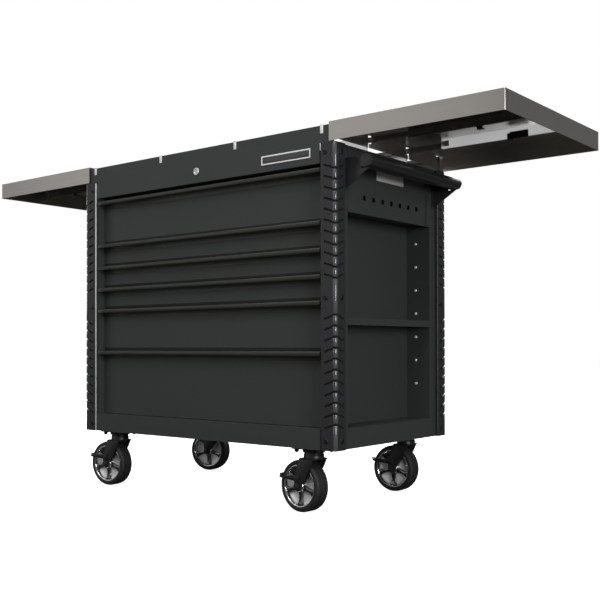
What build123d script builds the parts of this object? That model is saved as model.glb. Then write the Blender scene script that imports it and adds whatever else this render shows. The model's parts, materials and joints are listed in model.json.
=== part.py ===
"""Rolling tool chest with six drawers, a side bay, a push handle and two sliding worktops.

Millimetres. X runs along the chest, -Y is the drawer side, +Z is up, the floor is z = 0 and the
body is centred on x = 0, y = 0. Shown with both worktops slid out and every drawer shut.
"""
from build123d import *
import math
import os

os.makedirs("parts", exist_ok=True)

# Body
SHEET = 1.2
BASE_Z = 190.0
BODY_X = 537.0
BODY_Y = 292.0
RIM_Z = BASE_Z + 864.0
BASE_RAIL_H = 59.0
FRONT_Y = -298.0
POST_IN_X = 490.0
POST_BACK_Y = -262.0

# Front fascia and top frame
FASCIA_LOW_Z = BASE_Z + 808.0
FASCIA_TOP_Z = BASE_Z + 914.0
FASCIA_X = 489.0
TOP_FRAME_X = 534.0
TOP_LIP_DEPTH = 9.0
LOCK_Z = BASE_Z + 844.0
LOCK_R = 9.0
LOCK_FIT = 0.06

# Corner bumpers
BUMPER_T = 10.0
BUMPER_H = 863.0
BUMPER_FRONT_LEG = 53.0
BUMPER_SIDE_LEG = 49.0
CHEVRON_COUNT = 11
CHEVRON_PITCH = 30.6
CHEVRON_H = 6.0
CHEVRON_DEPTH = 4.0
CHEVRON_ANGLE = 17.4
UPPER_CHEVRON_Z = BASE_Z + 488.0
LOWER_CHEVRON_Z = BASE_Z + 69.0
BUMPER_SCREW_Z = [BASE_Z + 27.0, BASE_Z + 429.0, BASE_Z + 837.0]

# Side bay on the right
BAY_Y0 = -231.0
BAY_Y1 = 218.0
BAY_Z0 = BASE_Z + 60.0
BAY_Z1 = BASE_Z + 682.0
BAY_BACK_X = 450.0
SHELF_Z0 = BASE_Z + 353.0
SHELF_H = 20.0
STUD_X = 487.0
STUD_Z0 = BASE_Z + 171.0
STUD_PITCH = 75.4
STUD_COUNT = 7
HEADER_HOLE = 14.0
HEADER_HOLE_PITCH = 47.7
HEADER_HOLE_COUNT = 7

# Handle
HANDLE_OUT_X = 638.0
HANDLE_IN_X = 593.0
HANDLE_Y = 252.0
HANDLE_Z0 = BASE_Z + 790.0
HANDLE_Z1 = BASE_Z + 829.0
GUSSET_Y0 = 240.0
GUSSET_Y1 = 244.0
GUSSET_FOOT_Z = BASE_Z + 742.0

# Drawers, from the bottom one up
DRAWER_LINES = [BASE_Z + z for z in (59.0, 281.0, 425.0, 499.0, 574.0, 651.0, 808.0)]
DRAWER_FRONT_X = 487.5
DRAWER_FRONT_Y = -266.0
DRAWER_GAP = 1.5
DRAWER_BACK_Y = 250.0
SLIDE_LEFT_X = -490.0
SLIDE_RIGHT_X = BAY_BACK_X
SLIDE_SPACE = 12.7
PULL_X = 488.0
PULL_LIP = 13.0

# Worktops and their slides
TOP_IN_X = 526.0
TOP_OUT_X = 1061.0
TOP_Y = 304.0
TOP_Z0 = BASE_Z + 865.6
TOP_Z1 = BASE_Z + 920.8
TOP_END_FLANGE_Z = BASE_Z + 878.0
TOP_FLANGE_Y = 280.0
RAIL_Z0 = BASE_Z + 891.0
RAIL_Y0 = 94.0
BEAM_Y0 = 109.0
BEAM_Y1 = 125.0
BEAM_X = 523.0

# Casters
CASTER_X = 428.0
CASTER_Y = 248.0
TRAIL = 38.5
WHEEL_R = 76.0
TYRE_W = 48.0
RIM_R = 62.0
AXLE_R = 6.0
AXLE_FIT = 0.06
FORK_IN = 27.0
LEG_T = 4.0
BEARING_TOP_Z = 182.0
RACE_GAP = 0.4
PEDAL_PIN_X = -40.0
PEDAL_PIN_Z = 99.0
PEDAL_PIN_R = 4.0


def block(x0, x1, y0, y1, z0, z1):
    """A box between two corners."""
    corner = (min(x0, x1), min(y0, y1), min(z0, z1))
    low = (Align.MIN, Align.MIN, Align.MIN)
    return Pos(*corner) * Box(abs(x1 - x0), abs(y1 - y0), abs(z1 - z0), align=low)


def disc_y(x, z, radius, y0, y1):
    """A cylinder along Y."""
    middle = Pos(x, (y0 + y1) / 2, z)
    return middle * Rot(90, 0, 0) * Cylinder(radius, abs(y1 - y0))


def disc_x(y, z, radius, x0, x1):
    """A cylinder along X."""
    middle = Pos((x0 + x1) / 2, y, z)
    return middle * Rot(0, 90, 0) * Cylinder(radius, abs(x1 - x0))


def disc_z(x, y, radius, z0, z1):
    """An upright cylinder."""
    return Pos(x, y, (z0 + z1) / 2) * Cylinder(radius, abs(z1 - z0))


def plate_xz(points, y0, y1):
    """A flat plate with an outline in X and Z, between two Y planes."""
    outline = make_face(Polyline([(x, 0, z) for x, z in points], close=True))
    return Pos(0, max(y0, y1), 0) * extrude(outline, abs(y1 - y0), dir=(0, -1, 0))


def bar_x(points, x0, x1):
    """A bar along X with a section in Y and Z."""
    section = make_face(Polyline([(0, y, z) for y, z in points], close=True))
    return Pos(min(x0, x1), 0, 0) * extrude(section, abs(x1 - x0), dir=(1, 0, 0))


def flip_x(shape):
    return shape.mirror(Plane.YZ)


def flip_y(shape):
    return shape.mirror(Plane.XZ)


def solids(shape):
    return shape.solids()


def save(name, *shapes):
    """Write one sub-part, which may be several separate solids."""
    pieces = []
    for shape in shapes:
        pieces.extend(solids(shape))
    part = pieces[0] if len(pieces) == 1 else Compound(children=pieces)
    export_step(part, f"parts/{name}.step")


def base_pan():
    floor = block(-BODY_X, BODY_X, -BODY_Y, BODY_Y, BASE_Z, BASE_Z + 1.5)
    rail_top = BASE_Z + BASE_RAIL_H
    front_floor = block(-POST_IN_X, POST_IN_X, FRONT_Y, -BODY_Y, BASE_Z, BASE_Z + 1.5)
    front_rail = block(-POST_IN_X, POST_IN_X, FRONT_Y, FRONT_Y + 1.5, BASE_Z, rail_top)
    front_shelf = block(-POST_IN_X, POST_IN_X, FRONT_Y, POST_BACK_Y, rail_top - 1.5, rail_top)
    return floor + front_floor + front_rail + front_shelf


def front_post(z0):
    """The folded sheet behind a right-hand front bumper, facing the drawers."""
    face = block(POST_IN_X, BODY_X, -BODY_Y, -BODY_Y + SHEET, z0, RIM_Z)
    inner = block(POST_IN_X, POST_IN_X + SHEET, -BODY_Y, POST_BACK_Y, z0, RIM_Z)
    return face + inner


def left_side_panel():
    z0 = BASE_Z + 1.5
    wall = block(-BODY_X, -BODY_X + SHEET, -BODY_Y, BODY_Y, z0, RIM_Z)
    rim = block(-BODY_X, -500, -BODY_Y, BODY_Y, RIM_Z - SHEET, RIM_Z)
    return wall + rim + flip_x(front_post(z0))


def side_frame():
    z0 = BASE_Z + 1.5
    out = BODY_X - SHEET
    wall = block(out, BODY_X, -BODY_Y, BODY_Y, z0, RIM_Z)
    wall -= block(out - 1, BODY_X + 1, BAY_Y0, BAY_Y1, BAY_Z0, BAY_Z1)
    wall -= block(out - 1, BODY_X + 1, BAY_Y0 + 12, BAY_Y1 - 12, BAY_Z1 + 16, RIM_Z - 16)
    rim = block(500, BODY_X, -BODY_Y, BODY_Y, RIM_Z - SHEET, RIM_Z)
    return wall + rim + front_post(z0)


def bay_liner():
    """The five walls of the open bay, folded from one sheet."""
    out = BODY_X - SHEET
    outer = block(BAY_BACK_X, out, BAY_Y0 - SHEET, BAY_Y1 + SHEET, BAY_Z0 - SHEET, BAY_Z1 + SHEET)
    inner = block(BAY_BACK_X + SHEET, out + 1, BAY_Y0, BAY_Y1, BAY_Z0, BAY_Z1)
    return outer - inner


def header_panel():
    top = RIM_Z - 6
    panel = block(BODY_X, BODY_X + SHEET, BAY_Y0 + 1, BAY_Y1 - 2, BAY_Z1 - 8, top)
    for edge in (BAY_Z1 - 8, top - SHEET):
        panel += block(BODY_X, BODY_X + 4, BAY_Y0 + 1, BAY_Y1 - 2, edge, edge + SHEET)
    panel += block(BODY_X, BODY_X + 5, BAY_Y1 - 24, BAY_Y1 - 22.8, BAY_Z1 - 8, top)
    hole_z = BASE_Z + 723.0
    for i in range(HEADER_HOLE_COUNT):
        y = (i - (HEADER_HOLE_COUNT - 1) / 2) * HEADER_HOLE_PITCH - 5
        half = HEADER_HOLE / 2
        panel -= block(BODY_X - 1, BODY_X + 3, y - half, y + half, hole_z - half, hole_z + half)
    return panel


def back_panel():
    side = BODY_X - SHEET
    lip_y = BODY_Y - TOP_LIP_DEPTH
    wall = block(-side, side, BODY_Y - SHEET, BODY_Y, BASE_Z + 1.5, RIM_Z - SHEET)
    neck = block(-499, 499, BODY_Y - SHEET, BODY_Y, RIM_Z - SHEET, RIM_Z)
    crown = neck + block(-TOP_FRAME_X, TOP_FRAME_X, BODY_Y - SHEET, BODY_Y, RIM_Z, FASCIA_TOP_Z)
    lip = block(-TOP_FRAME_X, TOP_FRAME_X, lip_y, BODY_Y, FASCIA_TOP_Z - SHEET, FASCIA_TOP_Z)
    hem = block(-TOP_FRAME_X, TOP_FRAME_X, lip_y, lip_y + SHEET, FASCIA_TOP_Z - 12, FASCIA_TOP_Z)
    return wall + crown + lip + hem


def front_fascia():
    low = FASCIA_LOW_Z
    top = FASCIA_TOP_Z
    back = FRONT_Y + SHEET
    lip_y = FRONT_Y + TOP_LIP_DEPTH
    face = block(-FASCIA_X, FASCIA_X, FRONT_Y, back, low, RIM_Z)
    crown = block(-TOP_FRAME_X, TOP_FRAME_X, FRONT_Y, back, RIM_Z, top)
    lip = block(-TOP_FRAME_X, TOP_FRAME_X, FRONT_Y, lip_y, top - SHEET, top)
    hem = block(-TOP_FRAME_X, TOP_FRAME_X, lip_y - SHEET, lip_y, top - 12, top)
    sill = block(-FASCIA_X, FASCIA_X, FRONT_Y, POST_BACK_Y - 2, low, low + SHEET)
    shape = face + crown + lip + hem + sill
    for side in (-1, 1):
        shape += block(side * (TOP_FRAME_X - SHEET), side * TOP_FRAME_X, FRONT_Y, lip_y, RIM_Z, top)
    shape -= disc_y(0, LOCK_Z, LOCK_R + LOCK_FIT, FRONT_Y - 1, back + 1)
    return shape


def top_tray():
    """A shallow tray welded up from a floor and four walls."""
    x = 534.0
    y0 = POST_BACK_Y + 1
    y1 = BODY_Y - SHEET - 1
    z0 = BASE_Z + 812.0
    z1 = RIM_Z - 10
    floor = block(-x, x, y0, y1, z0, z0 + SHEET)
    front = block(-x, x, y0, y0 + SHEET, z0 + SHEET, z1)
    back = block(-x, x, y1 - SHEET, y1, z0 + SHEET, z1)
    ends = [block(i * (x - SHEET), i * x, y0 + SHEET, y1 - SHEET, z0 + SHEET, z1) for i in (-1, 1)]
    return [floor, front, back, *ends]


def chevron_cuts(z, turn):
    """One chevron on both legs of the front-right bumper."""
    x = BODY_X + BUMPER_T
    y = -BODY_Y - BUMPER_T
    front_len = BUMPER_FRONT_LEG - 11
    side_len = BUMPER_SIDE_LEG - 11
    front = Pos(x - front_len / 2 + 2, y, z) * Rot(0, turn, 0)
    side = Pos(x, y + side_len / 2 - 2, z) * Rot(turn, 0, 0)
    front_cut = front * Box(front_len + 4, CHEVRON_DEPTH * 2, CHEVRON_H)
    side_cut = side * Box(CHEVRON_DEPTH * 2, side_len + 4, CHEVRON_H)
    return [front_cut, side_cut]


def front_right_bumper():
    x = BODY_X + BUMPER_T
    y = -BODY_Y - BUMPER_T
    top = BASE_Z + BUMPER_H
    front = block(x - BUMPER_FRONT_LEG, x, y, -BODY_Y, BASE_Z, top)
    side = block(BODY_X, x, y, y + BUMPER_SIDE_LEG, BASE_Z, top)
    shape = front + side
    upright = shape.edges().filter_by(Axis.Z)
    corner = upright.sort_by(lambda e: e.center().X - e.center().Y)[-1]
    shape = fillet(corner, 7.0)
    upright = shape.edges().filter_by(Axis.Z)
    ends = [e for e in upright if e.center().X < x - BUMPER_FRONT_LEG + 1 and e.center().Y < y + 1]
    ends += [e for e in upright if e.center().X > x - 1 and e.center().Y > y + BUMPER_SIDE_LEG - 1]
    shape = fillet(ends, 3.0)
    cuts = []
    for i in range(CHEVRON_COUNT):
        cuts += chevron_cuts(UPPER_CHEVRON_Z + i * CHEVRON_PITCH, CHEVRON_ANGLE)
        cuts += chevron_cuts(LOWER_CHEVRON_Z + i * CHEVRON_PITCH, -CHEVRON_ANGLE)
    return shape - cuts


def corner_bumpers():
    front_right = front_right_bumper()
    front_left = flip_x(front_right)
    return [front_right, front_left, flip_y(front_right), flip_y(front_left)]


def bumper_screws():
    x = BODY_X + BUMPER_T
    y = -BODY_Y - BUMPER_T
    heads = []
    for z in BUMPER_SCREW_Z:
        front = disc_y(x - 35, z, 5.5, y - 2.4, y)
        front -= disc_y(x - 35, z, 2.4, y - 3, y - 1.2)
        side = disc_x(y + 30, z, 5.5, x, x + 2.4)
        side -= disc_x(y + 30, z, 2.4, x + 1.2, x + 3)
        for head in (front, side):
            heads += [head, flip_x(head), flip_y(head), flip_y(flip_x(head))]
    return heads


def side_shelf():
    x0 = BAY_BACK_X + SHEET + 0.5
    x1 = BODY_X - 0.5
    y0 = BAY_Y0 + 0.6
    y1 = BAY_Y1 - 0.6
    deck = block(x0, x1, y0, y1, SHELF_Z0 + SHELF_H - SHEET, SHELF_Z0 + SHELF_H)
    lip = block(x1 - SHEET, x1, y0, y1, SHELF_Z0, SHELF_Z0 + SHELF_H)
    rear = block(x0, x0 + SHEET, y0, y1, SHELF_Z0, SHELF_Z0 + SHELF_H)
    for y in (y0, y1 - SHEET):
        deck += block(x0, x1, y, y + SHEET, SHELF_Z0, SHELF_Z0 + SHELF_H)
    return deck + lip + rear


def shelf_studs():
    studs = []
    for i in range(STUD_COUNT):
        z = STUD_Z0 + i * STUD_PITCH
        if SHELF_Z0 - 6 < z < SHELF_Z0 + SHELF_H + 6:
            z = SHELF_Z0 + SHELF_H + 12
        studs.append(disc_y(STUD_X, z, 4.5, BAY_Y1 - 3.5, BAY_Y1))
        studs.append(disc_y(STUD_X, z, 4.5, BAY_Y0, BAY_Y0 + 3.5))
    return studs


def handle_grip():
    bar = block(HANDLE_IN_X, HANDLE_OUT_X, -HANDLE_Y, HANDLE_Y, HANDLE_Z0, HANDLE_Z1)
    bar = fillet(bar.edges().filter_by(Axis.Y), 14)
    ends = [e for e in bar.edges() if abs(e.center().Y) > HANDLE_Y - 0.1]
    return fillet(ends, 9)


def handle_bracket(side):
    """A flat gusset under one end of the grip, with its foot on the side frame."""
    x0 = BODY_X
    foot = GUSSET_FOOT_Z
    top = HANDLE_Z1 - 4
    outline = [(x0, foot), (x0 + 7, foot), (HANDLE_OUT_X - 16, HANDLE_Z0), (HANDLE_IN_X, HANDLE_Z0)]
    outline += [(HANDLE_IN_X, top - 8), (HANDLE_IN_X - 14, top), (x0, top)]
    gusset = plate_xz(outline, side * GUSSET_Y0, side * GUSSET_Y1)
    flange = block(x0, x0 + 3, side * 231.5, side * 251, foot - 4, top + 2)
    return gusset + flange


def top_glides():
    glides = []
    for x in (-497.0, -165.0, 165.0, 497.0):
        strip = block(x - 5, x + 5, FRONT_Y - 2, FRONT_Y, FASCIA_TOP_Z - 23, FASCIA_TOP_Z + 2)
        strip += block(x - 5, x + 5, FRONT_Y - 2, FRONT_Y + 12, FASCIA_TOP_Z, FASCIA_TOP_Z + 2)
        rear = block(x - 5, x + 5, BODY_Y, BODY_Y + 2, FASCIA_TOP_Z - 23, FASCIA_TOP_Z + 2)
        rear += block(x - 5, x + 5, BODY_Y - 12, BODY_Y + 2, FASCIA_TOP_Z, FASCIA_TOP_Z + 2)
        glides += [strip, rear]
    return glides


def slide_beam(side):
    """One cross beam with the two fixed slide members on its inner face."""
    z0 = RIM_Z + 3
    z1 = BASE_Z + 912.0
    beam = block(-BEAM_X, BEAM_X, side * BEAM_Y0, side * (BEAM_Y0 + 2), z0, z1)
    beam += block(-BEAM_X, BEAM_X, side * BEAM_Y0, side * BEAM_Y1, z0, z0 + 2)
    for end in (-1, 1):
        beam += block(end * 478, end * 524, side * BEAM_Y0, side * BEAM_Y1, RIM_Z, z0)
        beam += fixed_rail(side, end, z1)
    return beam


def fixed_rail(side, end, z1):
    z0 = z1 - 20
    web = block(end * 8, end * 498, side * (BEAM_Y0 - 1.2), side * BEAM_Y0, z0, z1)
    low = block(end * 8, end * 498, side * (BEAM_Y0 - 6), side * BEAM_Y0, z0, z0 + 1.2)
    top = block(end * 8, end * 498, side * (BEAM_Y0 - 6), side * BEAM_Y0, z1 - 1.2, z1)
    return web + low + top


def drawer_slide_z(index):
    """Middle height of the slides of one drawer."""
    return DRAWER_LINES[index] + 32


def cabinet_rail(index):
    """Both fixed members of one drawer."""
    z = drawer_slide_z(index)
    rails = []
    for x, out in ((SLIDE_LEFT_X, 1), (SLIDE_RIGHT_X, -1)):
        web = block(x, x + out * 1.2, -249, 235, z - 19, z + 19)
        low = block(x, x + out * 7, -249, 235, z - 19, z - 17.8)
        top = block(x, x + out * 7, -249, 235, z + 17.8, z + 19)
        rails.append(web + low + top)
    return rails


def slide_uprights():
    """Hat sections that carry the left-hand fixed members."""
    uprights = []
    z0 = BASE_Z + 2
    z1 = BASE_Z + 806
    for y in (-238.0, 210.0):
        outer = block(-BODY_X + SHEET, SLIDE_LEFT_X, y, y + 40, z0, z1)
        inner = block(-BODY_X + SHEET, SLIDE_LEFT_X - 1.5, y + 1.5, y + 38.5, z0 - 1, z1 + 1)
        uprights.append(outer - inner)
    return uprights


def drawer_mid_rails(index):
    z = drawer_slide_z(index)
    rails = []
    for x, out in ((SLIDE_LEFT_X, 1), (SLIDE_RIGHT_X, -1)):
        web = block(x + out * 2.4, x + out * 3.6, -248, 236, z - 15.5, z + 15.5)
        low = block(x + out * 2.4, x + out * 11, -248, 236, z - 15.5, z - 14.3)
        top = block(x + out * 2.4, x + out * 11, -248, 236, z + 14.3, z + 15.5)
        rails.append(web + low + top)
    return rails


def drawer_box(index):
    z0 = DRAWER_LINES[index] + DRAWER_GAP
    z1 = DRAWER_LINES[index + 1] - DRAWER_GAP - (7.0 if index == 5 else 0.0)
    x0 = SLIDE_LEFT_X + SLIDE_SPACE
    x1 = SLIDE_RIGHT_X - SLIDE_SPACE
    front = DRAWER_FRONT_Y
    back = DRAWER_BACK_Y
    face = block(-DRAWER_FRONT_X, DRAWER_FRONT_X, front, front + 14, z0, z1)
    face -= block(-DRAWER_FRONT_X + SHEET, DRAWER_FRONT_X - SHEET, front + SHEET, front + 15, z0 + SHEET, z1 - SHEET)
    low = z0 + 6
    top = z1 - 16
    tub = block(x0, x1, front + 14, back, low, top)
    tub -= block(x0 + SHEET, x1 - SHEET, front + 14 + SHEET, back - SHEET, low + SHEET, top + 1)
    tie = block(-DRAWER_FRONT_X, DRAWER_FRONT_X, front + 14, front + 14 + SHEET, low, top)
    tie -= block(x0, x1, front + 13, front + 16, low - 1, top + 1)
    shape = face + tub + tie
    z = drawer_slide_z(index)
    for x, out in ((x0, -1), (x1, 1)):
        shape += block(x, x + out * 1.2, -250, 240, z - 12.5, z + 12.5)
        shape += block(x, x + out * 7.5, -250, 240, z - 12.5, z - 11.3)
        shape += block(x, x + out * 7.5, -250, 240, z + 11.3, z + 12.5)
    return shape


def drawer_pull(index):
    """A full-width folded pull on the top edge of one drawer front."""
    top = DRAWER_LINES[index + 1] - 3.5 - (7.0 if index == 5 else 0.0)
    lip_y = FRONT_Y + 0.5
    back_y = DRAWER_FRONT_Y
    points = [
        (back_y, top),
        (lip_y + 3, top),
        (lip_y, top - 2.5),
        (lip_y, top - PULL_LIP),
        (lip_y + 2.2, top - PULL_LIP),
        (lip_y + 2.6, top - 3.4),
        (back_y - 5, top - 2.6),
        (back_y - 2, top - 6),
        (back_y - 2, top - 27),
        (back_y, top - 27),
    ]
    return bar_x(points, -PULL_X, PULL_X)


def worktop_right():
    outer = block(TOP_IN_X, TOP_OUT_X, -TOP_Y, TOP_Y, TOP_Z0 - 10, TOP_Z1)
    rim = [e for e in outer.edges() if e.center().Z > TOP_Z0]
    outer = fillet([e for e in rim if e.center().X > TOP_OUT_X - 1 and abs(e.center().Y) > TOP_Y - 1], 3.5)
    top_edges = [e for e in outer.edges() if e.center().Z > TOP_Z1 - 0.1]
    outer = fillet([e for e in top_edges if e.center().X > TOP_IN_X + 1], 2.2)
    inner = block(TOP_IN_X + 1.2, TOP_OUT_X - 1.2, -TOP_Y + 1.2, TOP_Y - 1.2, TOP_Z0 - 20, TOP_Z1 - 1.2)
    pan = outer - inner
    pan -= block(TOP_IN_X - 1, TOP_OUT_X + 1, -TOP_Y - 1, TOP_Y + 1, TOP_Z0 - 20, TOP_Z0)
    pan -= block(TOP_IN_X - 1, TOP_IN_X + 2, -TOP_Y + 1.2, TOP_Y - 1.2, TOP_Z0 - 1, TOP_END_FLANGE_Z)
    x_in = TOP_IN_X - 1
    x_out = TOP_IN_X + 2
    for side in (-1, 1):
        pan -= block(x_in, x_out, side * (RAIL_Y0 + 1.2), side * (BEAM_Y0 - 0.6), RAIL_Z0 - 0.5, RAIL_Z0 + 23.5)
        pan -= block(x_in, x_out, side * (BEAM_Y0 - 1.2), side * (BEAM_Y0 + 3.2), TOP_Z0 - 1, RAIL_Z0 + 23.5)
        pan -= block(x_in, x_out, side * TOP_FLANGE_Y, side * (TOP_Y - 1.2), TOP_Z0 - 1, FASCIA_TOP_Z + 3.5)
    return pan


def worktop_rails():
    """The slide members and the release catches fixed under the right-hand worktop."""
    z1 = TOP_Z1 - 1.2
    pieces = []
    for side in (-1, 1):
        web = block(655, 1052, side * RAIL_Y0, side * (RAIL_Y0 + 1.2), RAIL_Z0, z1)
        low = block(655, 1052, side * RAIL_Y0, side * 101, RAIL_Z0, RAIL_Z0 + 1.2)
        top = block(655, 1052, side * RAIL_Y0, side * 101, z1 - 1.2, z1)
        catch = block(872, 890, side * RAIL_Y0, side * (RAIL_Y0 - 3), RAIL_Z0 - 7, RAIL_Z0 + 14)
        catch += block(872, 890, side * (RAIL_Y0 - 3), side * (RAIL_Y0 - 14), RAIL_Z0 - 7, RAIL_Z0 - 4)
        pieces.append(web + low + top + catch)
    return pieces


def worktop_mid_rails():
    z0 = BASE_Z + 895.0
    z1 = BASE_Z + 909.0
    rails = []
    for side in (-1, 1):
        web = block(276, 740, side * 100.8, side * 102.4, z0, z1)
        low = block(276, 740, side * 96.5, side * 106.5, z0, z0 + 1.2)
        top = block(276, 740, side * 96.5, side * 106.5, z1 - 1.2, z1)
        rails.append(web + low + top)
    return rails


def caster_plates():
    plates = []
    for i, j, _ in CASTERS.values():
        x, y = i * CASTER_X, j * CASTER_Y
        plate = block(x - 50, x + 50, y - 42, y + 42, BASE_Z - 4, BASE_Z)
        race = disc_z(x, y, 33, BEARING_TOP_Z + RACE_GAP, BASE_Z - 4)
        bolts = [disc_z(x + u, y + v, 7.0, BASE_Z - 14, BASE_Z - 4) for u in (-40, 40) for v in (-30, 30)]
        plates.append(plate + race + bolts)
    return plates


def placed(shape, name):
    """A caster piece drawn round the origin, turned and moved to its corner."""
    i, j, turn = CASTERS[name]
    return Pos(i * CASTER_X, j * CASTER_Y, 0) * Rot(0, 0, turn) * shape


def caster_fork(braked):
    crown = block(-30, 24, -FORK_IN - LEG_T, FORK_IN + LEG_T, 155, 160)
    fork = crown + disc_z(0, 0, 30, 160, 178) + disc_z(0, 0, 33, 176, BEARING_TOP_Z)
    leg = [(-30, 160), (24, 160), (14, 138), (-25, 74), (-29, 65), (-38.5, 61), (-48, 65), (-52, 76)]
    leg += [(-50, 110), (-38, 143)]
    for side in (-1, 1):
        fork += plate_xz(leg, side * FORK_IN, side * (FORK_IN + LEG_T))
        fork += disc_y(-TRAIL, WHEEL_R, 10.5, side * 31, side * 36)
        if braked:
            fork -= disc_y(PEDAL_PIN_X, PEDAL_PIN_Z, PEDAL_PIN_R + 0.05, side * 26, side * 32)
    fork += disc_y(-TRAIL, WHEEL_R, AXLE_R, -38, 38)
    return fork


def tyre():
    half = TYRE_W / 2
    profile = [
        (RIM_R, -half + 2),
        (66, -half),
        (71, -half),
        (WHEEL_R - 1.5, -half + 5),
        (WHEEL_R, -half + 9),
        (WHEEL_R, -7.5),
        (WHEEL_R - 3, -7.0),
        (WHEEL_R - 3, -4.5),
        (WHEEL_R, -4.0),
    ]
    profile += [(r, -w) for r, w in reversed(profile)]
    return Pos(-TRAIL, 0, WHEEL_R) * spun(profile)


def spun(profile):
    """A ring about the Y axis from radius and width pairs."""
    face = make_face(Polyline([(r, w, 0) for r, w in profile], close=True))
    return revolve(face, Axis.Y, 360)


def rim():
    ring = spun([(RIM_R, -22), (RIM_R, 22), (57, 23), (54, 19), (57, 12), (57, -12), (54, -19), (57, -23)])
    hub = disc_y(0, 0, 16, -26, 26)
    wheel = ring + hub
    spoke = [(11, -10), (32, -6), (58, -11), (58, 11), (32, 6), (11, 10)]
    for i in range(5):
        bar = plate_xz(spoke, -18, 18)
        wheel += Rot(0, 72 * i, 0) * bar
    wheel -= disc_y(0, 0, AXLE_R + AXLE_FIT, -27, 27)
    return Pos(-TRAIL, 0, WHEEL_R) * wheel


def brake_pedal():
    """A yoke of flat pieces outside the fork's legs, closed behind the tyre by a toe with a lip."""
    arm = [(-29, 89.5), (-52, 89.5), (-106, 93.1), (-106, 106.5), (-60, 110), (-29, 110)]
    corner = [(-106, 32), (-106, 35), (-107.5, 35), (-121, 18), (-118, 17)]
    pieces = [plan_bar([(-121, 18), (-121, -18), (-118, -17), (-118, 17)], 94, 106)]
    pieces.append(plate_xz([(-121, 98), (-121, 103), (-127, 106), (-130, 104.5), (-129, 102)], -13, 13))
    for side in (-1, 1):
        pieces.append(plate_xz(arm, side * 32, side * 35))
        pieces.append(plan_bar([(x, side * y) for x, y in corner], 93.5, 106))
        pieces.append(disc_y(PEDAL_PIN_X, PEDAL_PIN_Z, PEDAL_PIN_R, side * 26, side * 32))
    return pieces


def plan_bar(points, z0, z1):
    """An upright bar with an outline in X and Y."""
    outline = make_face(Polyline([(x, y, 0) for x, y in points], close=True))
    return Pos(0, 0, z0) * extrude(outline, z1 - z0, dir=(0, 0, 1))


def lock_plug():
    head = disc_y(0, LOCK_Z, 12, FRONT_Y - 3.4, FRONT_Y - 0.4)
    body = disc_y(0, LOCK_Z, LOCK_R, FRONT_Y - 0.5, FRONT_Y + 22)
    keyway = block(-1.0, 1.0, FRONT_Y - 4, FRONT_Y + 4, LOCK_Z - 5, LOCK_Z + 5)
    return head + body - keyway


def blank_plates():
    badge = block(272, 456, FRONT_Y - 1.6, FRONT_Y, BASE_Z + 828, BASE_Z + 855)
    label = block(BODY_X + SHEET, BODY_X + SHEET + 0.8, -85, 61, BASE_Z + 783, BASE_Z + 811)
    return [badge, label]


# Side, end and swivel angle at rest of each caster
CASTERS = {"fl": (-1, -1, 5.5), "bl": (-1, 1, 13.0), "fr": (1, -1, -5.5), "br": (1, 1, 1.0)}


def main():
    save("base_pan", base_pan())
    save("left_side_panel", left_side_panel())
    save("side_frame", side_frame())
    save("bay_liner", bay_liner())
    save("header_panel", header_panel())
    save("back_panel", back_panel())
    save("front_fascia", front_fascia())
    save("top_tray", *top_tray())
    save("corner_bumpers", *corner_bumpers())
    save("bumper_screws", *bumper_screws())
    save("side_shelf", side_shelf())
    save("shelf_studs", *shelf_studs())
    save("handle_grip", handle_grip())
    save("handle_brackets", handle_bracket(-1), handle_bracket(1))
    save("top_glides", *top_glides())
    save("slide_beams", slide_beam(-1), slide_beam(1))
    cabinet = [rail for i in range(6) for rail in cabinet_rail(i)]
    save("drawer_cabinet_rails", *cabinet, *slide_uprights())
    save("caster_plates", *caster_plates())
    save("blank_plates", *blank_plates())
    save("lock_plug", lock_plug())
    for side, turn in (("right", lambda s: s), ("left", flip_x)):
        save(f"worktop_{side}", turn(worktop_right()))
        save(f"worktop_rails_{side}", *[turn(s) for s in worktop_rails()])
        save(f"worktop_mid_rails_{side}", *[turn(s) for s in worktop_mid_rails()])
    for i in range(6):
        number = 6 - i
        save(f"drawer_{number}_box", drawer_box(i))
        save(f"drawer_{number}_pull", drawer_pull(i))
        save(f"drawer_{number}_mid_rails", *drawer_mid_rails(i))
    for name in CASTERS:
        save(f"caster_{name}_fork", placed(caster_fork(name != "bl"), name))
        save(f"caster_{name}_tyre", placed(tyre(), name))
        save(f"caster_{name}_rim", placed(rim(), name))
        if name != "bl":
            save(f"caster_{name}_pedal", *[placed(piece, name) for piece in brake_pedal()])


main()
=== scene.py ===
"""Rolling tool chest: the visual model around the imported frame."""

import json
import math

import bmesh
import bpy
from bpy.props import FloatProperty, FloatVectorProperty, PointerProperty
from bpy.types import Operator, Panel, PropertyGroup
from mathutils import Matrix, Vector


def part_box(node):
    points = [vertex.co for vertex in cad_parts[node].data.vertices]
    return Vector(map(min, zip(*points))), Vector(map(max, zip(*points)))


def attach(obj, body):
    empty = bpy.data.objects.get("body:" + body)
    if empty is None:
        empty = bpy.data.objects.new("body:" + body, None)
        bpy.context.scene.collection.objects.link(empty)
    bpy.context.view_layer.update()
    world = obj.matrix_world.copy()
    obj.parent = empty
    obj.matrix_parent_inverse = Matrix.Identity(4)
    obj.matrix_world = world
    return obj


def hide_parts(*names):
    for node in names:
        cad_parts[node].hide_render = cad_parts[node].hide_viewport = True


bl_info = {
    "name": "Rolling Tool Chest",
    "version": (1, 0, 0),
    "blender": (4, 5, 0),
    "location": "View3D > Sidebar > Tool Chest",
    "description": "Finishes and detailed pieces for a rolling tool chest",
    "category": "Object",
}

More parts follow.
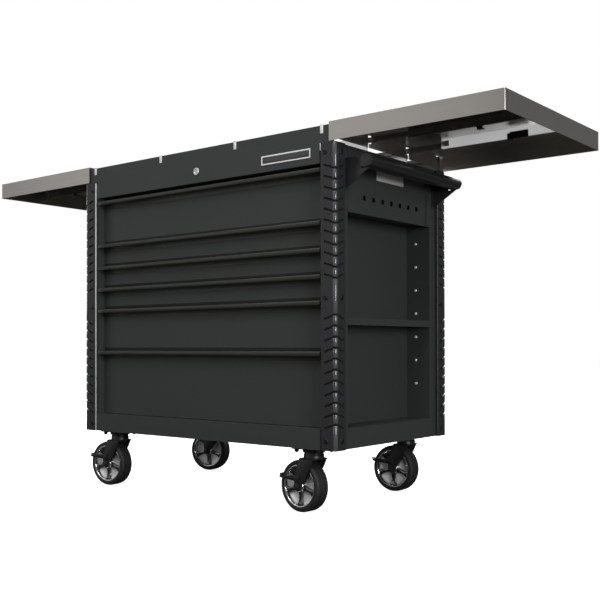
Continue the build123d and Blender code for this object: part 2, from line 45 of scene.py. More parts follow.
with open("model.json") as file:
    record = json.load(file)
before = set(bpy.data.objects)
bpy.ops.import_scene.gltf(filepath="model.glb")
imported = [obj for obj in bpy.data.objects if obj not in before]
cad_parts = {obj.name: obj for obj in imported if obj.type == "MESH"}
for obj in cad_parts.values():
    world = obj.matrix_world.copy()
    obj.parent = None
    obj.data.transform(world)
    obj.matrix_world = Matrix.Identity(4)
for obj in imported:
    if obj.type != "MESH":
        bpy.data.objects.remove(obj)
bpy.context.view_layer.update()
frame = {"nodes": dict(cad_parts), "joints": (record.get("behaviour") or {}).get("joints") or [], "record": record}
NODES = frame["nodes"]
DRAWERS = range(1, 7)
CASTERS = ("fl", "bl", "fr", "br")
MM = 0.001
WHEEL_TRAIL = 38.5
WHEEL_RADIUS = 76
YOKE_PIVOT = (-40, 0, 99)
CHEVRON_ROWS = ((488, 17.4), (69, -17.4))
CHEVRON_COUNT = 11
CHEVRON_PITCH = 30.6
BUMPER_SCREW_HEIGHTS = (27, 429, 837)
SHELF_STUD_ROWS = 7
GLIDE_PLACES = (-497, -165, 165, 497)
SLIDE_Y = 94
SLIDE_HEIGHT = 28.6


# Properties


class FinishProperties(PropertyGroup):
    """Colours of the chest's finishes."""

    paint: FloatVectorProperty(
        name="Paint", description="Charcoal powder coat of the body and drawers",
        subtype="COLOR", size=3, min=0, max=1, default=(0.033, 0.037, 0.036),
    )
    pull: FloatVectorProperty(
        name="Pull", description="Dark anodised drawer pulls",
        subtype="COLOR", size=3, min=0, max=1, default=(0.036, 0.036, 0.030),
    )
    plastic: FloatVectorProperty(
        name="Plastic", description="Moulded bumpers and handle",
        subtype="COLOR", size=3, min=0, max=1, default=(0.018, 0.019, 0.020),
    )
    steel: FloatVectorProperty(
        name="Worktop steel", description="Brushed stainless steel of the worktops",
        subtype="COLOR", size=3, min=0, max=1, default=(0.50, 0.475, 0.445),
    )
    zinc: FloatVectorProperty(
        name="Zinc", description="Bright zinc plating of the slides",
        subtype="COLOR", size=3, min=0, max=1, default=(0.72, 0.73, 0.74),
    )
    rubber: FloatVectorProperty(
        name="Rubber", description="Tyres",
        subtype="COLOR", size=3, min=0, max=1, default=(0.014, 0.014, 0.015),
    )


# Shader node groups


def new_group(name, inputs, outputs):
    """An empty shader group with float or colour sockets."""
    group = bpy.data.node_groups.new(name, "ShaderNodeTree")
    for label, kind, value in inputs:
        socket = group.interface.new_socket(label, in_out="INPUT", socket_type=kind)
        socket.default_value = value
    for label, kind in outputs:
        group.interface.new_socket(label, in_out="OUTPUT", socket_type=kind)
    entry = group.nodes.new("NodeGroupInput")
    leave = group.nodes.new("NodeGroupOutput")
    return group, entry, leave


def add_node(tree, kind, **values):
    """A node with its settings and the defaults of its named inputs."""
    node = tree.nodes.new(kind)
    for key, value in values.items():
        if key.startswith("in_"):
            label = key[3:].replace("_", " ")
            number = int(label) if label.isdigit() else None
            socket = node.inputs[number] if number is not None else node.inputs[label.title()]
            socket.default_value = value
        else:
            setattr(node, key, value)
    return node


def wire(tree, *pairs):
    """Link pairs of sockets."""
    for source, target in pairs:
        tree.links.new(source, target)


def maths(tree, operation, a, b=None, clamp=False):
    """A maths node whose inputs are sockets or numbers."""
    node = tree.nodes.new("ShaderNodeMath")
    node.operation = operation
    node.use_clamp = clamp
    for slot, value in zip(node.inputs, (a, b)):
        if value is None:
            continue
        if isinstance(value, (int, float)):
            slot.default_value = value
        else:
            tree.links.new(value, slot)
    return node.outputs[0]


def powder_coat_group():
    """Fine orange peel, slow shade drift and light dust of a powder coat."""
    group, entry, leave = new_group(
        "Powder coat",
        [("Color", "NodeSocketColor", (0.03, 0.03, 0.03, 1)), ("Grain Scale", "NodeSocketFloat", 900.0),
         ("Shade Drift", "NodeSocketFloat", 0.12), ("Roughness", "NodeSocketFloat", 0.5)],
        [("Color", "NodeSocketColor"), ("Roughness", "NodeSocketFloat"), ("Height", "NodeSocketFloat")],
    )
    place = add_node(group, "ShaderNodeTexCoord").outputs["Object"]
    grain = add_node(group, "ShaderNodeTexNoise", in_Detail=2.0, in_Roughness=0.6)
    drift = add_node(group, "ShaderNodeTexNoise", in_Scale=5.0, in_Detail=4.0, in_Roughness=0.6)
    wire(group, (place, grain.inputs["Vector"]), (place, drift.inputs["Vector"]))
    wire(group, (entry.outputs["Grain Scale"], grain.inputs["Scale"]))
    swing = maths(group, "MULTIPLY", maths(group, "SUBTRACT", drift.outputs["Fac"], 0.5), entry.outputs["Shade Drift"])
    fleck = maths(group, "MULTIPLY", maths(group, "SUBTRACT", grain.outputs["Fac"], 0.5), 0.10)
    shade = maths(group, "ADD", maths(group, "ADD", swing, 1.0), fleck)
    tint = add_node(group, "ShaderNodeVectorMath", operation="SCALE")
    wire(group, (entry.outputs["Color"], tint.inputs[0]), (shade, tint.inputs["Scale"]))
    rough = maths(group, "ADD", entry.outputs["Roughness"], maths(group, "MULTIPLY", swing, 0.6), clamp=True)
    wire(group, (tint.outputs[0], leave.inputs["Color"]), (rough, leave.inputs["Roughness"]))
    wire(group, (grain.outputs["Fac"], leave.inputs["Height"]))
    return group


def brushed_group():
    """Long fine scratches along X, with a slow blotch."""
    group, entry, leave = new_group(
        "Brushed metal",
        [("Color", "NodeSocketColor", (0.5, 0.5, 0.5, 1)), ("Contrast", "NodeSocketFloat", 0.16),
         ("Roughness", "NodeSocketFloat", 0.3), ("Stretch", "NodeSocketVector", (3.0, 420.0, 420.0))],
        [("Color", "NodeSocketColor"), ("Roughness", "NodeSocketFloat"), ("Height", "NodeSocketFloat")],
    )
    place = add_node(group, "ShaderNodeTexCoord").outputs["Object"]
    spread = add_node(group, "ShaderNodeVectorMath", operation="MULTIPLY")
    wire(group, (place, spread.inputs[0]), (entry.outputs["Stretch"], spread.inputs[1]))
    lines = add_node(group, "ShaderNodeTexNoise", in_Scale=1.0, in_Detail=5.0, in_Roughness=0.65)
    blotch = add_node(group, "ShaderNodeTexNoise", in_Scale=7.0, in_Detail=3.0, in_Roughness=0.5)
    wire(group, (spread.outputs[0], lines.inputs["Vector"]), (place, blotch.inputs["Vector"]))
    streak = maths(group, "MULTIPLY", maths(group, "SUBTRACT", lines.outputs["Fac"], 0.5), entry.outputs["Contrast"])
    cloud = maths(group, "MULTIPLY", maths(group, "SUBTRACT", blotch.outputs["Fac"], 0.5), 0.12)
    shade = maths(group, "ADD", maths(group, "ADD", streak, cloud), 1.0)
    tint = add_node(group, "ShaderNodeVectorMath", operation="SCALE")
    wire(group, (entry.outputs["Color"], tint.inputs[0]), (shade, tint.inputs["Scale"]))
    rough = maths(group, "ADD", entry.outputs["Roughness"], maths(group, "MULTIPLY", cloud, 0.8), clamp=True)
    wire(group, (tint.outputs[0], leave.inputs["Color"]), (rough, leave.inputs["Roughness"]))
    wire(group, (lines.outputs["Fac"], leave.inputs["Height"]))
    return group


GROUP_MAKERS = {"Powder coat": powder_coat_group, "Brushed metal": brushed_group}


def group_of(name):
    """The shared group, made once."""
    return bpy.data.node_groups.get(name) or GROUP_MAKERS[name]()


# Materials


def finish(name, group_name, color, rough, bump, metallic=0.0, distance=0.0002, **extra):
    """A Principled material fed by one of the texture groups."""
    found = bpy.data.materials.get(name)
    if found:
        return found
    material = bpy.data.materials.new(name)
    material.use_nodes = True
    tree = material.node_tree
    shader = tree.nodes["Principled BSDF"]
    shader.inputs["Metallic"].default_value = metallic
    shader.inputs["Coat Weight"].default_value = extra.pop("Coat Weight", 0.0)
    texture = tree.nodes.new("ShaderNodeGroup")
    texture.node_tree = group_of(group_name)
    texture.inputs["Color"].default_value = (*color, 1)
    texture.inputs["Roughness"].default_value = rough
    for label, value in extra.items():
        texture.inputs[label].default_value = value
    relief = tree.nodes.new("ShaderNodeBump")
    relief.inputs["Strength"].default_value = bump
    relief.inputs["Distance"].default_value = distance
    wire(tree, (texture.outputs["Color"], shader.inputs["Base Color"]),
         (texture.outputs["Roughness"], shader.inputs["Roughness"]),
         (texture.outputs["Height"], relief.inputs["Height"]),
         (relief.outputs["Normal"], shader.inputs["Normal"]))
    return material


def materials():
    """Every finish of the chest by a short name."""
    look = bpy.context.scene.chest_finish
    return {
        "paint": finish("charcoal_powder_coat", "Powder coat", look.paint, 0.50, 0.25),
        "pull": finish("dark_anodised_pull", "Brushed metal", look.pull, 0.36, 0.10, metallic=0.3,
                       **{"Contrast": 0.10}),
        "bumper": finish("bumper_moulding", "Powder coat", look.plastic, 0.42, 0.30, **{"Grain Scale": 1400.0}),
        "handle": finish("handle_moulding", "Powder coat", look.plastic, 0.30, 0.22, **{"Grain Scale": 1600.0}),
        "screw": finish("black_oxide_screw", "Powder coat", (0.02, 0.02, 0.021), 0.35, 0.1, metallic=0.6),
        "zinc": finish("bright_zinc", "Brushed metal", look.zinc, 0.24, 0.08, metallic=1.0, **{"Contrast": 0.08}),
        "rail": finish("dark_rail_steel", "Brushed metal", (0.10, 0.10, 0.10), 0.35, 0.08, metallic=0.8),
        "slide": finish("satin_slide_steel", "Brushed metal", (0.16, 0.155, 0.145), 0.42, 0.08, metallic=0.7),
        "steel": finish("brushed_stainless", "Brushed metal", look.steel, 0.30, 0.12, metallic=1.0),
        "nylon": finish("white_nylon", "Powder coat", (0.80, 0.80, 0.77), 0.45, 0.1, **{"Shade Drift": 0.05}),
        "plate": finish("satin_blank_plate", "Brushed metal", (0.55, 0.55, 0.55), 0.35, 0.08, metallic=1.0),
        # Near-black painted shadow, used for the drawer shadow strips and the floors of the bumper grooves.
        "groove": finish("groove_shadow_black", "Powder coat", (0.004, 0.004, 0.004), 0.8, 0.1),
        # The bead's plastic is given a lighter grey than the bumpers: a painted highlight on the rounded bead, with a
        # real clear coat.
        "bead": finish("corner_bead_with_painted_highlight", "Powder coat", (0.07, 0.075, 0.08), 0.22, 0.15,
                       **{"Grain Scale": 1400.0, "Coat Weight": 0.4}),
        "bright": finish("clear_zinc", "Brushed metal", (0.86, 0.87, 0.88), 0.38, 0.06, metallic=0.35,
                         **{"Contrast": 0.05}),
        "badge": finish("badge_rim_silver", "Brushed metal", (0.90, 0.90, 0.90), 0.35, 0.04, metallic=0.2,
                        **{"Contrast": 0.04}),
        "field": finish("badge_field_dark", "Powder coat", (0.05, 0.05, 0.052), 0.35, 0.1),
        "label": finish("blank_label", "Powder coat", (0.55, 0.55, 0.53), 0.5, 0.08, **{"Shade Drift": 0.05}),
        "smoke": finish("smoked_chrome", "Brushed metal", (0.16, 0.16, 0.16), 0.16, 0.02, metallic=1.0,
                        **{"Contrast": 0.04}),
        "chrome": finish("polished_chrome", "Brushed metal", (0.80, 0.80, 0.82), 0.10, 0.02, metallic=1.0,
                         **{"Contrast": 0.04}),
        "fork": finish("black_fork_paint", "Powder coat", (0.013, 0.013, 0.014), 0.38, 0.2),
        "tyre": finish("tyre_rubber", "Powder coat", look.rubber, 0.62, 0.35, **{"Grain Scale": 700.0}),
    }


SLOT_FINISH = {
    "body_paint": "paint", "drawer_paint": "paint", "pull_dark": "pull", "bumper_plastic": "bumper",
    "handle_plastic": "handle", "screw_steel": "screw", "zinc_steel": "zinc", "dark_rail": "rail",
    "stainless": "steel", "white_nylon": "nylon", "plate_metal": "plate", "lock_chrome": "chrome",
    "fork_steel": "fork", "tyre": "tyre", "rim_chrome": "chrome",
}


NODE_FINISH = {
    "slide_beams": "bright", "worktop_mid_rails_right": "slide", "worktop_mid_rails_left": "slide",
}


class CHEST_OT_finishes(Operator):
    """Give every node of the frame its finish"""

    bl_idname = "chest.finishes"
    bl_label = "Frame finishes"

    def execute(self, context):
        finishes = materials()
        for part in frame["record"]["subparts"]:
            node = NODES[part["node"]]
            chosen = finishes[NODE_FINISH.get(part["node"], SLOT_FINISH[part["material_slot"]])]
            for place in node.material_slots:
                place.material = chosen
        return {"FINISHED"}


# Mesh helpers


def slab(low, high, bevel=0.0, segments=2, axis=None):
    """A block between two corners in millimetres, bevelled all round or along one axis."""
    shape = bmesh.new()
    bmesh.ops.create_cube(shape, size=1)
    low, high = Vector(low), Vector(high)
    bmesh.ops.scale(shape, vec=[abs(v) for v in high - low], verts=shape.verts)
    bmesh.ops.translate(shape, vec=(low + high) / 2, verts=shape.verts)
    if bevel:
        edges = shape.edges[:]
        if axis is not None:
            edges = [e for e in edges if abs((e.verts[0].co - e.verts[1].co)[axis]) > 1e-4]
        soften(shape, edges, bevel, segments)
    return shape


def soften(shape, edges, width, segments=2):
    bmesh.ops.bevel(shape, geom=edges, offset=width, offset_type="OFFSET", segments=segments,
                    profile=0.5, affect="EDGES", material=-1, clamp_overlap=True)


def turned(outline, steps=72, closed=True):
    """A ring or knob about Y from radius and distance pairs."""
    shape = bmesh.new()
    points = [shape.verts.new((radius, along, 0)) for radius, along in outline]
    edges = [shape.edges.new(pair) for pair in zip(points, points[1:])]
    if closed:
        edges.append(shape.edges.new((points[-1], points[0])))
    bmesh.ops.spin(shape, geom=points + edges, cent=(0, 0, 0), axis=(0, 1, 0), angle=math.tau,
                   steps=steps, use_merge=True, use_duplicate=False)
    bmesh.ops.remove_doubles(shape, verts=shape.verts, dist=1e-4)
    bmesh.ops.recalc_face_normals(shape, faces=shape.faces)
    return shape


def cut_plate(outline, step, corner=0.0, edge=0.0):
    """A flat outline with rounded corners, pulled out along a vector and eased at its rims."""
    shape = bmesh.new()
    face = shape.faces.new([shape.verts.new(point) for point in outline])
    if corner:
        bmesh.ops.bevel(shape, geom=shape.verts[:], offset=corner, offset_type="OFFSET", segments=4,
                        profile=0.5, affect="VERTICES", material=-1, clamp_overlap=True)
        face = shape.faces[:][0]
    made = bmesh.ops.extrude_face_region(shape, geom=[face], use_keep_orig=True)
    moved = [v for v in made["geom"] if isinstance(v, bmesh.types.BMVert)]
    bmesh.ops.translate(shape, vec=step, verts=moved)
    bmesh.ops.recalc_face_normals(shape, faces=shape.faces)
    if edge:
        way = Vector(step).normalized()
        rims = [e for e in shape.edges if abs((e.verts[0].co - e.verts[1].co).normalized().dot(way)) < 0.1]
        soften(shape, rims, edge, 2)
    return shape


def flat(points, y=0.0):
    """Points in X and Z, put in 3-D at one depth."""
    return [(x, y, z) for x, z in points]


def hexagon(radius, y0, y1):
    """A bolt head about Y with eased corners."""
    shape = bmesh.new()
    bmesh.ops.create_cone(shape, cap_ends=True, segments=6, radius1=radius, radius2=radius, depth=abs(y1 - y0),
                          matrix=Matrix.Translation((0, (y0 + y1) / 2, 0)) @ Matrix.Rotation(math.pi / 2, 4, "X"))
    soften(shape, shape.edges[:], radius * 0.08, 2)
    return shape


def moved(shape, matrix):
    """The same mesh, moved or mirrored."""
    bmesh.ops.transform(shape, matrix=matrix, verts=shape.verts)
    if matrix.determinant() < 0:
        bmesh.ops.reverse_faces(shape, faces=shape.faces)
    return shape


def joined(parts):
    """One mesh from several separate solids."""
    whole = bmesh.new()
    for part in parts:
        holder = bpy.data.meshes.new("part")
        part.to_mesh(holder)
        part.free()
        whole.from_mesh(holder)
        bpy.data.meshes.remove(holder)
    return whole


def make_piece(name, shape, finish_name, body, slot_name, *replaced, place=None, angle=38):
    """Turn a millimetre mesh into a finished piece that rides on a body."""
    scale = Matrix.Scale(MM, 4)
    bmesh.ops.transform(shape, matrix=(place or Matrix()) @ scale, verts=shape.verts)
    mesh = bpy.data.meshes.new(name)
    shape.to_mesh(mesh)
    shape.free()
    mesh.materials.append(materials()[finish_name])
    mesh.polygons.foreach_set("use_smooth", [True] * len(mesh.polygons))
    mesh.set_sharp_from_angle(angle=math.radians(angle))
    piece = bpy.data.objects.new(name, mesh)
    bpy.context.collection.objects.link(piece)
    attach(piece, body)
    if replaced:
        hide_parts(*replaced)
    return piece


def turn_to(direction, place):
    """Carry the -Y axis to a direction, at a place in millimetres."""
    turn = Vector((0, -1, 0)).rotation_difference(Vector(direction)).to_matrix().to_4x4()
    return Matrix.Translation(Vector(place)) @ turn


# Casters


def joint(name):
    """A joint of the frame by name."""
    return next(j for j in frame["joints"] if j["name"] == name)


def caster_place(name):
    """The frame of one caster: its swivel axis on the floor, turned as it stands."""
    swivel = Vector(joint(f"caster_{name}_swivel")["pos_m"])
    axle = joint(f"wheel_{name}_spin")["axis"]
    turn = math.atan2(-axis_sign(axle) * axle[0], axis_sign(axle) * axle[1])
    return Matrix.Translation((swivel.x, swivel.y, 0)) @ Matrix.Rotation(turn, 4, "Z")


def axis_sign(axis):
    """Which way an axle points along Y."""
    return 1 if axis[1] >= 0 else -1


def tyre_shape():
    """The tyre with two grooves in its tread edge."""
    half = [(62, -22), (63, -23.4), (65, -24), (68, -23.9), (69, -23.2), (70, -23.9), (72.5, -22.9), (74.6, -20.6),
            (75.6, -17.6), (76, -14), (76, -10.4), (75.6, -9.9), (73.4, -9.4), (73.4, -7.4), (75.6, -6.9), (76, -6.4)]
    return turned(half + [(r, -w) for r, w in reversed(half)], steps=96)


def rim_shape():
    """The outer ring and the hub."""
    half = [(62, -22), (61.6, -23.4), (60.4, -23.8), (58.4, -23.4), (57, -21.8), (56.2, -18), (54, -12)]
    ring = turned(half + [(r, -w) for r, w in reversed(half)], steps=96)
    boss = [(6.2, -26), (12.5, -26), (14.6, -25), (16.4, -22), (17.5, -15)]
    hub = turned(boss + [(r, -w) for r, w in reversed(boss)], steps=48)
    return joined([ring, hub])


def spokes_shape():
    """Five flared spokes between the hub and the ring."""
    parts = []
    half = [(12, -9.5), (24, -6.4), (38, -6), (49, -8.6), (57, -14)]
    blade = half + [(x, -z) for x, z in reversed(half)]
    for i in range(5):
        spoke = cut_plate(flat(blade, -20.5), (0, 41, 0), edge=2.2)
        for vert in spoke.verts:
            reach = math.hypot(vert.co.x, vert.co.z)
            vert.co.y *= 0.82 + 0.18 * abs(reach - 36) / 24
        parts.append(moved(spoke, Matrix.Rotation(math.tau * i / 5 + math.pi / 10, 4, "Y")))
    return joined(parts)


def fork_shape():
    """Crown, swivel, two legs and the axle with its nuts."""
    leg = [(-30, 160), (24, 160), (14, 138), (-25, 74), (-29, 65), (-38.5, 61), (-48, 65), (-52, 76), (-50, 110),
           (-38, 143)]
    crown = slab((-30, -31, 155), (24, 31, 160), 1.2)
    swivel = turned([(0, -160), (30, -160), (30, -170), (28.5, -172), (28.5, -176), (32, -177), (33, -178.2),
                     (33, -180.8), (32, -182), (0, -182)], 64, closed=False)
    parts = [crown, moved(swivel, Matrix.Rotation(-math.pi / 2, 4, "X"))]
    axle = Matrix.Translation((-WHEEL_TRAIL, 0, WHEEL_RADIUS))
    for side in (-1, 1):
        parts.append(cut_plate(flat(leg, 27 * side), (0, 4 * side, 0), corner=2.5, edge=0.7))
        washer = turned([(0, 31 * side), (11.5, 31 * side), (11.5, 32.2 * side), (0, 32.4 * side)], 32, closed=False)
        parts += [moved(washer, axle), moved(hexagon(9.6, 32 * side, 37.5 * side), axle)]
    parts.append(moved(turned([(0, -38), (5.2, -38), (6, -37), (6, 37), (5.2, 38), (0, 38)], 24, closed=False), axle))
    return joined(parts)


def yoke_shape():
    """The brake yoke: two arms outside the fork, a toe behind the tyre and a small lip."""
    half = [(-30, 35), (-107.5, 35), (-121, 18)]
    inner = [(-118, 17), (-106, 32), (-30, 32)]
    plan = half + [(x, -y) for x, y in reversed(half)] + [(x, -y) for x, y in reversed(inner)] + inner
    band = cut_plate([(x, y, 80) for x, y in plan], (0, 0, 40))
    for vert in band.verts:
        slope = min(max((-30 - vert.co.x) / 76, 0), 1)
        vert.co.z = 109 - 6 * slope if vert.co.z > 100 else 90 + 7 * slope
    soften(band, band.edges[:], 0.6, 2)
    lip = cut_plate(flat([(-119, 98), (-119, 103), (-127, 106), (-130, 104.5), (-129, 102), (-121, 98)], -13),
                    (0, 26, 0), edge=0.8)
    pivot = Matrix.Translation(YOKE_PIVOT)
    pins = [moved(turned([(0, 26 * s), (4, 26 * s), (4, 35 * s), (6.4, 35.2 * s), (6, 37 * s), (0, 37.8 * s)], 24,
                         closed=False), pivot) for s in (-1, 1)]
    return joined([band, lip, *pins])


def plate_shape():
    """The mounting plate, its race and four bolts."""
    mount = slab((-50, -42, 186), (50, 42, 190), 1.0)
    soften(mount, [e for e in mount.edges if e.calc_length() < 2 and abs(e.verts[0].co.z - e.verts[1].co.z) > 1], 0.4)
    race = turned([(0, -182.4), (33, -182.4), (34, -183.4), (36, -186), (0, -186)], 64, closed=False)
    parts = [mount, moved(race, Matrix.Rotation(-math.pi / 2, 4, "X"))]
    for x in (-40, 40):
        for y in (-30, 30):
            down = turn_to((0, 0, -1), (x, y, 186))
            parts.append(moved(hexagon(7, 0, -8), down))
            shank = turned([(0, -8), (3.8, -8), (3.8, -9.4), (3.2, -10), (0, -10)], 20, closed=False)
            parts.append(moved(shank, down))
    return joined(parts)


class CHEST_OT_casters(Operator):
    """Make the tyres, rims, forks, brake yokes and mounting plates"""

    bl_idname = "chest.casters"
    bl_label = "Casters"

    def execute(self, context):
        for name in CASTERS:
            place = caster_place(name)
            wheel = place @ Matrix.Translation((-WHEEL_TRAIL * MM, 0, WHEEL_RADIUS * MM))
            body, hub = f"caster_{name}", f"wheel_{name}"
            make_piece(f"tyre_{name}", tyre_shape(), "tyre", hub, "tyre", f"caster_{name}_tyre", place=wheel)
            make_piece(f"rim_{name}", rim_shape(), "chrome", hub, "rim_chrome", f"caster_{name}_rim", place=wheel)
            web = turned([(17, -11), (40, -8), (54.5, -13), (54.5, 13), (40, 8), (17, 11)], 64)
            make_piece(f"wheel_web_{name}", web, "bright", hub, "rim_chrome", place=wheel)
            make_piece(f"spokes_{name}", spokes_shape(), "smoke", hub, "rim_chrome", place=wheel)
            make_piece(f"fork_{name}", fork_shape(), "fork", body, "fork_steel", f"caster_{name}_fork", place=place)
            if f"caster_{name}_pedal" in NODES:
                make_piece(f"brake_yoke_{name}", yoke_shape(), "fork", f"pedal_{name}", "fork_steel",
                           f"caster_{name}_pedal", place=place)
        plates = []
        for name in CASTERS:
            x, y, _ = joint(f"caster_{name}_swivel")["pos_m"]
            plates.append(moved(plate_shape(), Matrix.Translation((x / MM, y / MM, 0))))
        make_piece("caster_mounts", joined(plates), "fork", "body", "fork_steel", "caster_plates")
        return {"FINISHED"}


# Drawers and fascia


def pull_shape(low, high):
    """A folded pull: top plate, front lip turned down, and a flange on the drawer."""
    top, lip, back = high.z / MM, low.y / MM, high.y / MM
    points = [(back, top), (lip + 3.4, top), (lip + 1.2, top - 0.8), (lip, top - 3), (lip, top - 11.6),
              (lip + 1, top - 13), (lip + 2.6, top - 12.6), (lip + 2.8, top - 4.4), (lip + 4.4, top - 2.8),
              (back - 5, top - 2.6), (back - 2, top - 6), (back - 2, top - 27), (back, top - 27)]
    width = high.x / MM
    return cut_plate([(-width, y, z) for y, z in points], (2 * width, 0, 0), edge=0.3)


class CHEST_OT_pulls(Operator):
    """Make the full-width pulls"""

    bl_idname = "chest.pulls"
    bl_label = "Drawer pulls"

    def execute(self, context):
        for number in DRAWERS:
            low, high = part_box(f"drawer_{number}_pull")
            make_piece(f"pull_{number}", pull_shape(low, high), "pull", f"drawer_{number}", "pull_dark",
                       f"drawer_{number}_pull", angle=50)
        return {"FINISHED"}


class CHEST_OT_shadow_strips(Operator):
    """Make near-black strips of painted shadow on the bottom edges of the drawer fronts, above the pulls"""

    bl_idname = "chest.hems"
    bl_label = "Drawer shadow strips"

    def execute(self, context):
        for number in list(DRAWERS)[:-1]:
            low, high = (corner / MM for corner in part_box(f"drawer_{number}_box"))
            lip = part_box(f"drawer_{number + 1}_pull")[1].z / MM
            # A near-black strip on the lower edge of the drawer front: painted shadow of the gap above the next pull.
            shadow_strip = slab((low.x + 1, low.y - 0.5, lip + 1.2), (-low.x - 1, low.y + 0.4, lip + 11.2), 0.2)
            make_piece(f"drawer_shadow_strip_{number}", shadow_strip, "groove", f"drawer_{number}", "drawer_paint")
        return {"FINISHED"}


class CHEST_OT_fascia(Operator):
    """Make the lock face, the blank badge and label, and the glides"""

    bl_idname = "chest.fascia"
    bl_label = "Lock, badge and glides"

    def execute(self, context):
        low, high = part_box("lock_plug")
        middle = Vector(((low.x + high.x) / 2, low.y, (low.z + high.z) / 2)) / MM
        face = middle + Vector((0, 3.4, 0))
        head = turned([(0, -2.4), (6.8, -2.4), (7.4, -3.0), (9.4, -3.4), (11.2, -3.0), (12, -1.8), (12, -0.4),
                       (9, -0.4), (9, 21), (0, 21)], 64, closed=False)
        make_piece("lock_face", moved(head, Matrix.Translation(face)), "chrome", "lock_plug", "lock_chrome",
                   "lock_plug")
        # A black slab on the lock face in place of the keyway slot: painted shade of the hole.
        slot = slab((-1.6, -2.9, -5.0), (1.6, -1.6, 5.0), 0.5)
        make_piece("lock_keyway", moved(slot, Matrix.Translation(face)), "screw", "lock_plug", "screw_steel")
        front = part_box("front_fascia")[0].y / MM
        _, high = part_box("blank_plates")
        badge = (272, 456, high.z / MM - 27, high.z / MM)
        rim = slab((badge[0], front - 1.6, badge[2]), (badge[1], front, badge[3]))
        outer = min(rim.faces, key=lambda f: f.calc_center_median().y)
        bmesh.ops.inset_individual(rim, faces=[outer], thickness=3.4, depth=0, use_even_offset=True)
        bmesh.ops.translate(rim, vec=(0, 0.9, 0), verts=outer.verts)
        soften(rim, [e for e in rim.edges if e.calc_length() > 5], 0.3, 2)
        make_piece("badge_rim", rim, "badge", "body", "plate_metal", "blank_plates")
        field = slab((badge[0] + 3.8, front - 0.95, badge[2] + 3.8),
                     (badge[1] - 3.8, front - 0.5, badge[3] - 3.8), 0.2)
        make_piece("badge_field", field, "field", "body", "plate_metal")
        side = high.x / MM
        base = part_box("blank_plates")[0].z / MM
        label = slab((side - 0.8, -85, base), (side, 61, base + 28), 0.25)
        make_piece("side_label", label, "label", "body", "plate_metal")
        glides = []
        low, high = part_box("top_glides")
        top = high.z / MM
        for x in GLIDE_PLACES:
            for y, way in ((low.y / MM, 1), (high.y / MM, -1)):
                glides.append(slab((x - 5, y, top - 25), (x + 5, y + 2 * way, top), 0.6))
                glides.append(slab((x - 5, y, top - 2), (x + 5, y + 14 * way, top), 0.6))
        make_piece("glides", joined(glides), "nylon", "body", "white_nylon", "top_glides")
        return {"FINISHED"}


# Body fittings


def screw_shape():
    """A button-head screw with a socket."""
    return turned([(0, -0.7), (3, -0.7), (3.4, -2.1), (5.6, -2.3), (7.2, -1.7), (8, -0.4), (8, 0), (0, 0)], 32,
                  closed=False)


def bumper_groove_shadows(corner):
    """Near-black floors of painted shadow in the chevron grooves on one front-right corner, in its own millimetres."""
    x, y, base = corner
    shadow_floors = []
    for first, lean in CHEVRON_ROWS:
        turn = math.radians(lean)
        for i in range(CHEVRON_COUNT):
            z = base + first + CHEVRON_PITCH * i
            front = slab((-22.7, 3.4, -2.95), (15.2, 3.95, 2.95))
            shadow_floors.append(moved(front, Matrix.Translation((x - 19, y, z)) @ Matrix.Rotation(turn, 4, "Y")))
            side = slab((-3.95, -13.2, -2.95), (-3.4, 20.7, 2.95))
            shadow_floors.append(moved(side, Matrix.Translation((x, y + 17, z)) @ Matrix.Rotation(turn, 4, "X")))
    return joined(shadow_floors)


def bumper_bead(corner, top):
    """The rounded corner bead, broken where the chevrons meet."""
    x, y, base = corner
    tips = [base + first + CHEVRON_PITCH * i - math.copysign(5.7, lean)
            for first, lean in reversed(CHEVRON_ROWS) for i in range(CHEVRON_COUNT)]
    bounds = [base + 1] + [z + way for z in tips for way in (-3.4, 3.4)] + [top - 1]
    runs = []
    for low, high in zip(bounds[::2], bounds[1::2]):
        run = bmesh.new()
        bmesh.ops.create_cone(run, cap_ends=True, segments=32, radius1=7.5, radius2=7.5, depth=high - low,
                              matrix=Matrix.Translation((x - 7, y + 7, (low + high) / 2)))
        soften(run, [e for e in run.edges if abs(e.verts[0].co.z - e.verts[1].co.z) < 0.1], 0.5, 2)
        runs.append(run)
    return joined(runs)


class CHEST_OT_bumpers(Operator):
    """Make the corner beads with their painted highlight, and the painted shadow in the bumper grooves"""

    bl_idname = "chest.bumpers"
    bl_label = "Bumper beads and grooves"

    def execute(self, context):
        low, high = (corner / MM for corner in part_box("corner_bumpers"))
        corner = (high.x, low.y, low.z)
        groove_shadows, beads = [], []
        for x in (1, -1):
            for y in (1, -1):
                flip = Matrix.Diagonal((x, y, 1, 1))
                groove_shadows.append(moved(bumper_groove_shadows(corner), flip))
                beads.append(moved(bumper_bead(corner, high.z), flip))
        edge = 53 - high.x
        # A bright strip on the inner edge of the left bumper: a painted highlight on its right-facing side.
        edge_highlight = slab((edge - 1.2, low.y, low.z + 2), (edge + 1.2, low.y + 3.6, high.z - 2), 0.3)
        make_piece("left_bumper_edge_highlight", edge_highlight, "bright", "body", "bumper_plastic")
        # The groove floors are near-black painted shadow inside the chevrons.
        make_piece("bumper_groove_shadows", joined(groove_shadows), "groove", "body", "bumper_plastic")
        # The beads carry a painted highlight in their lighter colour.
        make_piece("bumper_beads", joined(beads), "bead", "body", "bumper_plastic")
        return {"FINISHED"}


